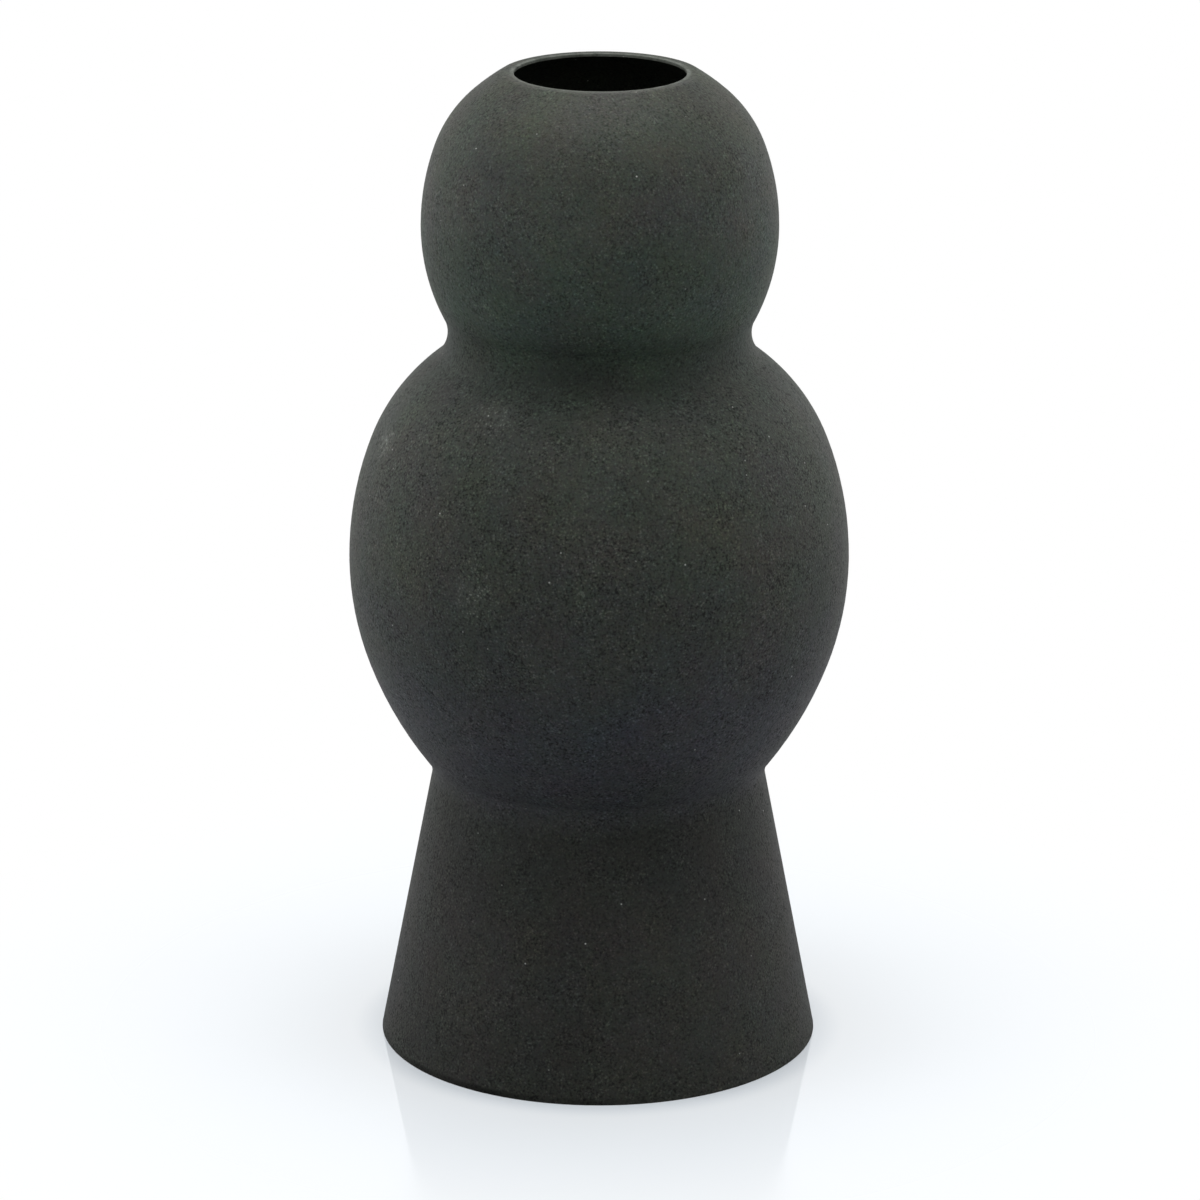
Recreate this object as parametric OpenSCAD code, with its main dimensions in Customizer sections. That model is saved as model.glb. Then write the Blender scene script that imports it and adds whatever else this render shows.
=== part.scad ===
// Iron vase: a rounded head with a small flat-rimmed mouth, a larger rounded belly,
// and a tall cone foot, spun and rolled from thin sheet and welded edge to edge.
// Millimetres, floor at z = 0, axis on Z. The rolled foot's seam is at the back, on +Y.

/* [Head] */
// Outside diameter of the head at its widest line
head_d = 148.8; // [144:0.2:156]
// Radius of the arc below the widest line, down to the neck
head_low_r = 84; // [78:1:94]
// Radius of the arc just above the widest line
head_side_r = 98; // [90:0.5:106]
// Angle that this arc turns through
head_side_turn = 20; // [14:1:26]
// Radius of the shoulder
head_shoulder_r = 53; // [48:0.5:58]
// Angle from the widest line to the end of the shoulder
head_shoulder_end = 49; // [42:0.5:53]
// Radius of the crown, between the shoulder and the mouth
head_crown_r = 93; // [78:1:110]

/* [Mouth] */
// Diameter of the mouth
mouth_d = 71.4; // [60:0.2:76]
// Width of the flat round the mouth
mouth_flat_w = 4; // [2.6:0.2:7]
// Outside radius of the bend from the crown into the flat
mouth_bend_r = 3.5; // [2.5:0.5:8]

/* [Neck] */
// Diameter of the corner in which the head and the belly meet
neck_d = 115.4; // [110:0.2:122]
// Radius of the hollow that the dressed weld makes in this corner
neck_weld_r = 16; // [8:0.5:20]

/* [Belly] */
// Outside diameter of the belly at its widest line
belly_d = 210.8; // [200:0.2:222]
// Radius of the arc just above the widest line
belly_side_up_r = 139.5; // [125:0.5:155]
// Angle that this arc turns through
belly_side_up_turn = 21; // [15:1:27]
// Radius of the belly's shoulder, up to the neck
belly_up_r = 81; // [76:0.5:88]
// Radius of the arc just below the widest line
belly_side_low_r = 128; // [120:1:140]
// Angle that this arc turns through
belly_side_low_turn = 20; // [14:1:26]
// Radius of the arc that draws the belly in to the waist
belly_low_r = 163; // [145:1:175]

/* [Waist] */
// Diameter of the corner in which the belly and the foot meet
waist_d = 140.2; // [130:0.2:150]
// Radius of the hollow that the weld makes in this corner
waist_weld_r = 14; // [6:0.5:20]

/* [Foot] */
// Height of the waist corner above the floor
foot_h = 120.4; // [105:0.2:135]
// Outside diameter that the cone would reach at the floor
foot_d = 186.6; // [175:0.2:198]

/* [Sheet and welds] */
// Thickness of the sheet of the head, the belly and the foot
sheet_t = 1.2; // [0.8:0.1:1.6]
// Radius of the dulled outer edge at the mouth and at the floor
edge_round_r = 0.4; // [0.2:0.1:0.7]
// Width of the weld between two sheet edges
weld_w = 1.6; // [1:0.1:2.2]
// Width of the bead inside a butt weld
root_w = 4; // [3:0.2:6]
// Height of this bead over the inside of the sheet
root_rise = 0.6; // [0.3:0.1:1]

/* [Base] */
// Thickness of the base plate
base_t = 1.5; // [1:0.1:3]
// Height of the plate's underside above the floor
base_recess = 5; // [4:0.2:10]
// Leg of the weld in the corner under the plate
base_weld_leg = 3; // [2:0.2:3.6]

/* [Hidden] */

// Colours of the textured coat on the sheet, on the welds and underneath
coat = [0.21, 0.22, 0.21];
weld_coat = [0.17, 0.18, 0.17];
under_coat = [0.13, 0.14, 0.13];

// Sides of a full turn
turn_sides = 240;
// Angle between two points of a large arc, and of a small one
arc_step = 2.5;
round_step = 10;
// Gap between the base plate's edge and the cone
plate_clear = 0.1;
// How deep a weld's hollow dips under the sheet's face, which gives its toes an edge
weld_toe = 0.1;

head_r = head_d / 2;
mouth_r = mouth_d / 2;
neck_r = neck_d / 2;
belly_r = belly_d / 2;
waist_r = waist_d / 2;
foot_r = foot_d / 2;

function dir(a) = [cos(a), sin(a)];
// Points along an arc, without its last one, which begins the next stretch
function arc_points(c, r, from, to, step = arc_step) =
    let (n = ceil(abs(to - from) / step))
    [for (i = [0 : n - 1]) c + r * dir(from + (to - from) * i / n)];
// Centre of the arc of radius r2 that goes on smoothly where the arc (c, r1) ends at angle a
function next_centre(c, r1, a, r2) = c + (r1 - r2) * dir(a);
// Angle at which an arc passes the height z, and the distance from the axis there
function arc_angle(c, r, z) = asin((z - c.y) / r);
function arc_reach(c, r, z) = c.x + r * cos(arc_angle(c, r, z));
// Height over its centre at which an arc passes the distance x from the axis
function arc_rise(c, r, x) = sqrt(pow(r, 2) - pow(x - c.x, 2));
// Direction from one point to another
function bearing(a, b) = atan2(b.y - a.y, b.x - a.x);
// Outer one of the two points in which two circles cross
function outer_crossing(c1, r1, c2, r2) =
    let (
        gap = c2 - c1,
        d = norm(gap),
        along = (pow(r1, 2) - pow(r2, 2) + pow(d, 2)) / (2 * d),
        side = sqrt(pow(r1, 2) - pow(along, 2)),
        first = c1 + gap * along / d + [gap.y, -gap.x] * side / d,
        second = c1 + gap * along / d - [gap.y, -gap.x] * side / d
    )
    first.x > second.x ? first : second;

// Foot: the cone's lean, its outward normal and its upward run
foot_lean = atan((foot_r - waist_r) / foot_h);
foot_out = dir(foot_lean);
foot_up = [-foot_out.y, foot_out.x];
foot_wall_w = sheet_t / cos(foot_lean);
waist_z = foot_h;
function foot_outside(z) = foot_r - (foot_r - waist_r) * z / foot_h;
function foot_inside(z) = foot_outside(z) - foot_wall_w;

// Belly below its widest line, first placed as if that line were at zero
belly_side_low_start = [belly_r - belly_side_low_r, 0];
belly_low_start = next_centre(belly_side_low_start, belly_side_low_r, -belly_side_low_turn, belly_low_r);
belly_z = waist_z + arc_rise(belly_low_start, belly_low_r, waist_r) - belly_low_start.y;
belly_side_low_c = belly_side_low_start + [0, belly_z];
belly_low_c = belly_low_start + [0, belly_z];

// Belly above its widest line
belly_side_up_c = [belly_r - belly_side_up_r, belly_z];
belly_up_c = next_centre(belly_side_up_c, belly_side_up_r, belly_side_up_turn, belly_up_r);
neck_z = belly_up_c.y + arc_rise(belly_up_c, belly_up_r, neck_r);

// Head
head_low_x = head_r - head_low_r;
head_z = neck_z + arc_rise([head_low_x, 0], head_low_r, neck_r);
head_low_c = [head_low_x, head_z];
head_side_c = [head_r - head_side_r, head_z];
head_shoulder_c = next_centre(head_side_c, head_side_r, head_side_turn, head_shoulder_r);
head_crown_c = next_centre(head_shoulder_c, head_shoulder_r, head_shoulder_end, head_crown_r);

// Mouth: the bend rolls from the crown into the flat
mouth_bend_x = mouth_r + mouth_flat_w;
head_crown_end = acos((mouth_bend_x - head_crown_c.x) / (head_crown_r - mouth_bend_r));
mouth_bend_c = next_centre(head_crown_c, head_crown_r, head_crown_end, mouth_bend_r);
height = mouth_bend_c.y + mouth_bend_r;
echo(height = height, head_z = head_z, neck_z = neck_z, belly_z = belly_z);

// Heights of the cut edges at each weld
head_edge_z = [head_z - weld_w / 2, head_z + weld_w / 2];
neck_edge_z = [neck_z - weld_w / 2, neck_z + weld_w / 2];
belly_edge_z = [belly_z - weld_w / 2, belly_z + weld_w / 2];
waist_edge_z = [waist_z - weld_w / 2, waist_z + weld_w / 2];

// Centres of the hollows of the neck weld and the waist weld
neck_weld_c = outer_crossing(
    head_low_c, head_low_r + neck_weld_r - weld_toe,
    belly_up_c, belly_up_r + neck_weld_r - weld_toe
);
waist_weld_step = waist_weld_r - weld_toe - (belly_low_c - [foot_r, 0]) * foot_out;
waist_weld_drop = sqrt(pow(belly_low_r + waist_weld_r - weld_toe, 2) - pow(waist_weld_step, 2));
waist_weld_c = belly_low_c + foot_out * waist_weld_step - foot_up * waist_weld_drop;

// Radius of the bead inside a butt weld, and half the angle that it spans
root_r = (pow(root_w / 2, 2) + pow(root_rise, 2)) / (2 * root_rise);
root_angle = asin(root_w / 2 / root_r);

// Turn that the foot's seam takes up, with its middle on +Y
foot_seam_turn = 360 * weld_w / (PI * foot_d);
foot_seam_start = 90 - foot_seam_turn / 2;

module revolved() {
    rotate_extrude($fn = turn_sides) children();
}

// One face of the head's upper half, set in by the given depth, from its cut edge to the mouth's bend
function head_upper_face(depth) = concat(
    arc_points(
        head_side_c, head_side_r - depth,
        arc_angle(head_side_c, head_side_r - depth, head_edge_z[1]), head_side_turn
    ),
    arc_points(head_shoulder_c, head_shoulder_r - depth, head_side_turn, head_shoulder_end),
    arc_points(head_crown_c, head_crown_r - depth, head_shoulder_end, head_crown_end),
    arc_points(mouth_bend_c, mouth_bend_r - depth, head_crown_end, 90, round_step),
    [mouth_bend_c + [0, mouth_bend_r - depth]]
);

function reversed(points) = [for (i = [len(points) - 1 : -1 : 0]) points[i]];

// Sheet between an outer and an inner face that run the same way
module sheet_section(outside, inside, edge = []) {
    polygon(concat(outside, edge, reversed(inside)));
}

// The flat round the mouth ends in a dulled upper edge and a plain lower one
module head_upper_section() {
    edge_c = [mouth_r + edge_round_r, height - edge_round_r];
    sheet_section(
        head_upper_face(0),
        head_upper_face(sheet_t),
        concat(
            arc_points(edge_c, edge_round_r, 90, 180, round_step),
            [[mouth_r, height - edge_round_r], [mouth_r, height - sheet_t]]
        )
    );
}

function head_lower_face(depth) =
    let (
        r = head_low_r - depth,
        low = arc_angle(head_low_c, r, neck_edge_z[1]),
        high = arc_angle(head_low_c, r, head_edge_z[0])
    )
    concat(arc_points(head_low_c, r, low, high), [head_low_c + r * dir(high)]);

module head_lower_section() {
    sheet_section(head_lower_face(0), head_lower_face(sheet_t));
}

function belly_upper_face(depth) =
    let (
        side_r = belly_side_up_r - depth,
        r = belly_up_r - depth,
        low = arc_angle(belly_side_up_c, side_r, belly_edge_z[1]),
        high = arc_angle(belly_up_c, r, neck_edge_z[0])
    )
    concat(
        arc_points(belly_side_up_c, side_r, low, belly_side_up_turn),
        arc_points(belly_up_c, r, belly_side_up_turn, high),
        [belly_up_c + r * dir(high)]
    );

module belly_upper_section() {
    sheet_section(belly_upper_face(0), belly_upper_face(sheet_t));
}

function belly_lower_face(depth) =
    let (
        side_r = belly_side_low_r - depth,
        r = belly_low_r - depth,
        low = arc_angle(belly_low_c, r, waist_edge_z[1]),
        high = arc_angle(belly_side_low_c, side_r, belly_edge_z[0])
    )
    concat(
        arc_points(belly_low_c, r, low, -belly_side_low_turn),
        arc_points(belly_side_low_c, side_r, -belly_side_low_turn, high),
        [belly_side_low_c + side_r * dir(high)]
    );

module belly_lower_section() {
    sheet_section(belly_lower_face(0), belly_lower_face(sheet_t));
}

// Outer face of the cone, flat on the floor and with its outer edge dulled
function foot_outer_face() =
    let (
        round_z = edge_round_r,
        round_c = [foot_outside(round_z) - edge_round_r / cos(foot_lean), round_z]
    )
    concat(
        arc_points(round_c, edge_round_r, -90, foot_lean, round_step),
        [round_c + foot_out * edge_round_r, [foot_outside(waist_edge_z[0]), waist_edge_z[0]]]
    );

module foot_section() {
    sheet_section(
        foot_outer_face(),
        [[foot_inside(0), 0], [foot_inside(waist_edge_z[0]), waist_edge_z[0]]]
    );
}

// Butt weld at a widest line, flush outside between two edges, with a low bead inside
module butt_weld_section(low_edge, widest, high_edge) {
    root_c = widest + [root_r - sheet_t - root_rise, 0];
    difference() {
        polygon(concat(
            [low_edge, widest, high_edge],
            arc_points(root_c, root_r, 180 - root_angle, 180 + root_angle, round_step),
            [root_c + root_r * dir(180 + root_angle)]
        ));
        children();
    }
}

// Weld in a corner: it fills the gap between the two edges and is dressed hollow outside.
// The first and the last pair of points are the cut edges of the lower and the upper sheet.
module corner_weld_section(low_edge, c, r, low_bearing, high_bearing, high_edge) {
    difference() {
        polygon(concat(
            low_edge,
            arc_points(c, r, low_bearing, high_bearing, round_step / 2),
            [c + r * dir(high_bearing)],
            high_edge
        ));
        children();
    }
}

module head_upper_shell() {
    color(coat) revolved() head_upper_section();
}

module head_lower_shell() {
    color(coat) revolved() head_lower_section();
}

module head_seam_weld() {
    color(weld_coat) revolved() butt_weld_section(
        [arc_reach(head_low_c, head_low_r, head_edge_z[0]), head_edge_z[0]],
        [head_r, head_z],
        [arc_reach(head_side_c, head_side_r, head_edge_z[1]), head_edge_z[1]]
    ) {
        head_lower_section();
        head_upper_section();
    }
}

module neck_weld() {
    low_z = neck_edge_z[0];
    high_z = neck_edge_z[1];
    color(weld_coat) revolved() corner_weld_section(
        [
            [arc_reach(belly_up_c, belly_up_r - sheet_t, low_z), low_z],
            [arc_reach(belly_up_c, belly_up_r, low_z), low_z]
        ],
        neck_weld_c,
        neck_weld_r,
        bearing(neck_weld_c, belly_up_c) + 360,
        bearing(neck_weld_c, head_low_c),
        [
            [arc_reach(head_low_c, head_low_r, high_z), high_z],
            [arc_reach(head_low_c, head_low_r - sheet_t, high_z), high_z]
        ]
    ) {
        belly_upper_section();
        head_lower_section();
    }
}

module belly_upper_shell() {
    color(coat) revolved() belly_upper_section();
}

module belly_lower_shell() {
    color(coat) revolved() belly_lower_section();
}

module belly_seam_weld() {
    color(weld_coat) revolved() butt_weld_section(
        [arc_reach(belly_side_low_c, belly_side_low_r, belly_edge_z[0]), belly_edge_z[0]],
        [belly_r, belly_z],
        [arc_reach(belly_side_up_c, belly_side_up_r, belly_edge_z[1]), belly_edge_z[1]]
    ) {
        belly_lower_section();
        belly_upper_section();
    }
}

module waist_weld() {
    low_z = waist_edge_z[0];
    high_z = waist_edge_z[1];
    color(weld_coat) revolved() corner_weld_section(
        [[foot_inside(low_z), low_z], [foot_outside(low_z), low_z]],
        waist_weld_c,
        waist_weld_r,
        foot_lean + 180,
        bearing(waist_weld_c, belly_low_c),
        [
            [arc_reach(belly_low_c, belly_low_r, high_z), high_z],
            [arc_reach(belly_low_c, belly_low_r - sheet_t, high_z), high_z]
        ]
    ) {
        foot_section();
        belly_lower_section();
    }
}

// The foot is rolled from a flat blank, so it is open by the width of its seam
module foot_cone() {
    blank_start = foot_seam_start + foot_seam_turn;
    color(coat)
        rotate_extrude(angle = 360 - foot_seam_turn, start = blank_start, $fn = turn_sides)
            foot_section();
}

// Seam of the rolled foot, flush outside, with a bead inside between the plate and the waist
module foot_seam_weld() {
    bead_z1 = base_recess + base_t + root_w;
    bead_z2 = waist_edge_z[0] - root_w;
    color(weld_coat)
        rotate_extrude(angle = foot_seam_turn, start = foot_seam_start, $fn = turn_sides)
            sheet_section(
                foot_outer_face(),
                [
                    [foot_inside(0), 0],
                    [foot_inside(bead_z1), bead_z1],
                    [foot_inside(bead_z1) - root_rise, bead_z1],
                    [foot_inside(bead_z2) - root_rise, bead_z2],
                    [foot_inside(bead_z2), bead_z2],
                    [foot_inside(waist_edge_z[0]), waist_edge_z[0]]
                ]
            );
}

// Flat plate that closes the foot a little above the floor
module base_plate() {
    plate_top = base_recess + base_t;
    color(under_coat)
        translate([0, 0, base_recess])
            cylinder(h = base_t, r = foot_inside(plate_top) - plate_clear, $fn = turn_sides);
}

// Weld in the corner between the underside of the plate and the cone
module base_weld() {
    plate_r = foot_inside(base_recess + base_t) - plate_clear;
    toe_z = base_recess - base_weld_leg;
    color(weld_coat) revolved() polygon([
        [plate_r - base_weld_leg, base_recess],
        [foot_inside(toe_z), toe_z],
        [foot_inside(base_recess), base_recess]
    ]);
}

head_upper_shell();
head_lower_shell();
head_seam_weld();
neck_weld();
belly_upper_shell();
belly_lower_shell();
belly_seam_weld();
waist_weld();
foot_cone();
foot_seam_weld();
base_plate();
base_weld();
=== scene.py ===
"""Iron vase: a sand-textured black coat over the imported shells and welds, on a pale glossy table.

The head, the belly and the foot are built from the top down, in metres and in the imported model's
frame.
"""

import logging
import math
from dataclasses import dataclass, field, replace
from enum import Enum

import bpy
from mathutils import Matrix, Vector


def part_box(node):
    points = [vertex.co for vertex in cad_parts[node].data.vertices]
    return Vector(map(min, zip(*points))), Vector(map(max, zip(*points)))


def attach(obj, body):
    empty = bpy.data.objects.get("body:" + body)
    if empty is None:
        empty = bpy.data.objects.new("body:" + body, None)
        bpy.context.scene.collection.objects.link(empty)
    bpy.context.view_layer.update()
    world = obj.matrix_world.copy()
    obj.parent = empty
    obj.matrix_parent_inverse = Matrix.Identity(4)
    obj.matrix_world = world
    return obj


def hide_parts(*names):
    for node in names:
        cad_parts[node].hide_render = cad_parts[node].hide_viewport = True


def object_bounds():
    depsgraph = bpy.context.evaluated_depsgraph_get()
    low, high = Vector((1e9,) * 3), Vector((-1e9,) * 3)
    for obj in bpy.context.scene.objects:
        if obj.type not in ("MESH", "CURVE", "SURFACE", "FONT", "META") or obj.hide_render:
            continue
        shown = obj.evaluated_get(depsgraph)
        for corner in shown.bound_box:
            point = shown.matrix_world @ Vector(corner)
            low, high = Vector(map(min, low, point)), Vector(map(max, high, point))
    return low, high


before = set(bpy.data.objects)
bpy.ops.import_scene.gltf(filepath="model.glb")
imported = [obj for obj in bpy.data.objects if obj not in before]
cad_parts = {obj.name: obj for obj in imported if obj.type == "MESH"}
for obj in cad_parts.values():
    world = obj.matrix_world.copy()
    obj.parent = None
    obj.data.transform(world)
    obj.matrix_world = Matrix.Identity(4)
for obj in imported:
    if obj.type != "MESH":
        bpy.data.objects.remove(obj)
CAD_LOW, CAD_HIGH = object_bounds()

log = logging.getLogger("iron_vase")

MM = 0.001

Colour = tuple[float, float, float]
Point = tuple[float, float, float]
Sockets = dict[str, bpy.types.NodeSocket]

WHITE: Colour = (1.0, 1.0, 1.0)


def rgba(colour: Colour) -> tuple[float, float, float, float]:
    """The colour with full opacity, as a shader socket takes it."""
    return (*colour, 1.0)


class Sheet:
    """A node tree that is filled node by node and laid out from left to right."""

    STEP = 180

    def __init__(self, tree: bpy.types.NodeTree) -> None:
        """Takes over an empty tree.

        Args:
            tree: The node tree to fill.
        """
        self.tree = tree
        self.column = 0

    @classmethod
    def blank(cls, owner: bpy.types.ID) -> "Sheet":
        """Clears the nodes of a material, a world or a lamp.

        Args:
            owner: What the nodes belong to.

        Returns:
            Its empty sheet.
        """
        owner.use_nodes = True
        owner.node_tree.nodes.clear()
        return cls(owner.node_tree)

    def node(self, kind: str, **settings: object) -> bpy.types.Node:
        """Adds one node.

        Args:
            kind: The node's Blender type.
            **settings: Properties of the node, by name.

        Returns:
            The new node.
        """
        made = self.tree.nodes.new(kind)
        made.location = (self.column * self.STEP, 0)
        self.column += 1
        for name, value in settings.items():
            setattr(made, name, value)
        return made

    def feed(self, socket: bpy.types.NodeSocket, value: object) -> None:
        """Links a socket to another, or sets its value.

        Args:
            socket: The input to feed.
            value: An output socket, a number, a vector or a colour.
        """
        if isinstance(value, bpy.types.NodeSocket):
            self.tree.links.new(value, socket)
        else:
            socket.default_value = value

    def feed_named(self, node: bpy.types.Node, fed: dict[str, object]) -> None:
        """Feeds several inputs of a node.

        Args:
            node: The node.
            fed: What feeds each input, by the input's name.
        """
        for name, value in fed.items():
            self.feed(node.inputs[name], value)

    def math(self, operation: str, *values: object) -> bpy.types.NodeSocket:
        """Adds a math node.

        Args:
            operation: The node's operation, such as MULTIPLY.
            *values: What feeds its inputs, in order.

        Returns:
            The result.
        """
        made = self.node("ShaderNodeMath", operation=operation)
        for socket, value in zip(made.inputs, values):
            self.feed(socket, value)
        return made.outputs[0]

    def vector_math(self, operation: str, *values: object) -> bpy.types.Node:
        """Adds a vector math node.

        Args:
            operation: The node's operation, such as SUBTRACT.
            *values: What feeds its inputs, in order.

        Returns:
            The node, whose outputs are Vector and Value.
        """
        made = self.node("ShaderNodeVectorMath", operation=operation)
        for socket, value in zip(made.inputs, values):
            self.feed(socket, value)
        return made

    def distance(self, first: object, second: object) -> bpy.types.NodeSocket:
        """Measures how far two points are apart.

        Args:
            first: The first point.
            second: The second point.

        Returns:
            The distance.
        """
        return self.vector_math("DISTANCE", first, second).outputs["Value"]

    def length(self, first: object, second: object) -> bpy.types.NodeSocket:
        """Measures the long side of a right-angled triangle.

        Args:
            first: One short side.
            second: The other short side.

        Returns:
            The long side.
        """
        squares = (self.math("MULTIPLY", side, side) for side in (first, second))
        return self.math("SQRT", self.math("ADD", *squares))

    def axes(self, vector: object) -> tuple[bpy.types.NodeSocket, ...]:
        """Takes a vector apart.

        Args:
            vector: The vector.

        Returns:
            Its X, Y and Z.
        """
        split = self.node("ShaderNodeSeparateXYZ")
        self.feed(split.inputs[0], vector)
        return tuple(split.outputs)

    def ramp(self, value: object, low: object, high: object) -> bpy.types.NodeSocket:
        """Maps a value from a range to 0..1, clamped and with soft ends.

        Args:
            value: What to map.
            low: The value that gives 0.
            high: The value that gives 1.

        Returns:
            The mapped value.
        """
        made = self.node("ShaderNodeMapRange", interpolation_type="SMOOTHSTEP")
        self.feed_named(made, {"Value": value, "From Min": low, "From Max": high})
        return made.outputs["Result"]

    def blend(
        self, share: object, first: object, second: object, kind: str = "MIX"
    ) -> bpy.types.NodeSocket:
        """Mixes two colours.

        Args:
            share: How much of the second colour shows, from 0 to 1.
            first: The colour underneath.
            second: The colour on top.
            kind: The way they blend.

        Returns:
            The mixed colour.
        """
        made = self.node("ShaderNodeMix", data_type="RGBA", blend_type=kind)
        self.feed(made.inputs["Factor"], share)
        colours = [s for s in made.inputs if s.type == "RGBA"]
        self.feed(colours[0], first)
        self.feed(colours[1], second)
        return next(s for s in made.outputs if s.type == "RGBA")

    def choose(self, share: object, first: object, second: object) -> bpy.types.NodeSocket:
        """Mixes two numbers.

        Args:
            share: How much of the second shows.
            first: The first number.
            second: The second number.

        Returns:
            The mix.
        """
        apart = self.math("SUBTRACT", second, first)
        return self.math("MULTIPLY_ADD", share, apart, first)

    def noise(
        self, vector: object, scale: object, detail: float, roughness: float = 0.5
    ) -> bpy.types.Node:
        """Adds a soft noise.

        Args:
            vector: Where it is read.
            scale: Its waves per metre.
            detail: How many finer layers it has.
            roughness: How strong the finer layers are.

        Returns:
            The node, whose outputs are Fac, about 0.5 on average, and Color.
        """
        made = self.node("ShaderNodeTexNoise", noise_dimensions="3D")
        self.feed_named(made, {
            "Vector": vector, "Scale": scale, "Detail": detail, "Roughness": roughness})
        return made

    def cells(self, vector: object, scale: object) -> bpy.types.Node:
        """Adds a pattern of cells, one round each of many scattered points.

        Args:
            vector: Where it is read.
            scale: Its cells per metre.

        Returns:
            The node, whose outputs are Distance from the cell's point and the cell's own Color.
        """
        made = self.node("ShaderNodeTexVoronoi", feature="F1")
        self.feed_named(made, {"Vector": vector, "Scale": scale})
        return made

    def use(self, group: "EffectGroup", **values: object) -> bpy.types.Node:
        """Places an effect's node group.

        Args:
            group: The effect.
            **values: What feeds its inputs, by name, with spaces written as underscores.

        Returns:
            The group's node.
        """
        made = self.node("ShaderNodeGroup")
        made.node_tree = group.tree()
        self.feed_named(made, {name.replace("_", " "): value for name, value in values.items()})
        return made

    def end(self, kind: str, surface: bpy.types.NodeSocket) -> None:
        """Adds the sheet's way out.

        Args:
            kind: Material, World or Light.
            surface: The shader that feeds its surface.
        """
        self.feed(self.node(f"ShaderNodeOutput{kind}").inputs["Surface"], surface)


class EffectGroup:
    """A node group that several materials use. It is built once, at its first use."""

    name = ""
    inputs: dict[str, str] = {}
    outputs: dict[str, str] = {}

    def tree(self) -> bpy.types.NodeTree:
        """The group's node tree, built when it is first asked for.

        Returns:
            The node tree.
        """
        if self.name in bpy.data.node_groups:
            return bpy.data.node_groups[self.name]
        tree = bpy.data.node_groups.new(self.name, "ShaderNodeTree")
        for way, sockets in (("INPUT", self.inputs), ("OUTPUT", self.outputs)):
            for socket, kind in sockets.items():
                tree.interface.new_socket(socket, in_out=way, socket_type=f"NodeSocket{kind}")
        sheet = Sheet(tree)
        entry = sheet.node("NodeGroupInput")
        results = self.fill(sheet, {s.name: s for s in entry.outputs if s.name})
        sheet.feed_named(sheet.node("NodeGroupOutput"), results)
        return tree

    def fill(self, sheet: Sheet, given: Sockets) -> Sockets:
        """Builds the group's nodes.

        Args:
            sheet: The tree to fill.
            given: The group's inputs, by name.

        Returns:
            What feeds each output, by name.
        """
        raise NotImplementedError


class SandGrain(EffectGroup):
    """The sandy relief of a textured powder coat: rounded grains with fine pits between them."""

    name = "sand_grain"
    inputs = {"Place": "Vector", "Grain Size": "Float", "Patch Size": "Float"}
    outputs = {"Height": "Float", "Crest": "Float", "Pit": "Float"}

    WAVES_PER_GRAIN = (1.25, 2.6, 0.36)  # coarse, fine and clumps
    LAYER_DETAIL = 1.0
    COARSE_SHARE, FINE_SHARE, CLUMP_SHARE = 0.9, 0.35, 0.34
    CLUMP_MIDDLE = 0.5
    ROUND_SHARE = 0.35
    CREST_START, CREST_FULL = 0.88, 1.10
    PIT_START, PIT_FULL = 0.80, 0.56
    PATCH_DETAIL = 2.0
    PATCH_START, PATCH_FULL = 0.35, 0.65
    WEAKEST, STRENGTH_RANGE = 0.75, 0.5

    def fill(self, sheet: Sheet, given: Sockets) -> Sockets:
        """Builds the grain from cells over three layers of noise.

        Args:
            sheet: The tree to fill.
            given: Place, Grain Size in metres, and Patch Size, over which it grows and fades.

        Returns:
            Height, about 0 to 1, and masks of the crests and the pits.
        """
        place = given["Place"]
        per_metre = sheet.math("DIVIDE", 1.0, given["Grain Size"])
        coarse, fine, clump = (
            sheet.noise(
                place, sheet.math("MULTIPLY", per_metre, waves), self.LAYER_DETAIL
            ).outputs["Fac"]
            for waves in self.WAVES_PER_GRAIN)
        cells = sheet.cells(place, per_metre)
        round_top = sheet.math("SUBTRACT", 1.0, cells.outputs["Distance"])
        rounded = sheet.math("MULTIPLY", round_top, self.ROUND_SHARE)
        body = sheet.math("MULTIPLY_ADD", coarse, self.COARSE_SHARE, rounded)
        off_middle = sheet.math("SUBTRACT", clump, self.CLUMP_MIDDLE)
        body = sheet.math("MULTIPLY_ADD", off_middle, self.CLUMP_SHARE, body)
        height = sheet.math("MULTIPLY_ADD", fine, self.FINE_SHARE, body)
        per_patch = sheet.math("DIVIDE", 1.0, given["Patch Size"])
        patches = sheet.noise(place, per_patch, self.PATCH_DETAIL).outputs["Fac"]
        patch = sheet.ramp(patches, self.PATCH_START, self.PATCH_FULL)
        strength = sheet.math("MULTIPLY_ADD", patch, self.STRENGTH_RANGE, self.WEAKEST)
        crest = sheet.ramp(height, self.CREST_START, self.CREST_FULL)
        pit = sheet.ramp(height, self.PIT_START, self.PIT_FULL)
        return {
            "Height": height,
            "Crest": sheet.math("MULTIPLY", crest, strength),
            "Pit": sheet.math("MULTIPLY", pit, strength),
        }


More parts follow.
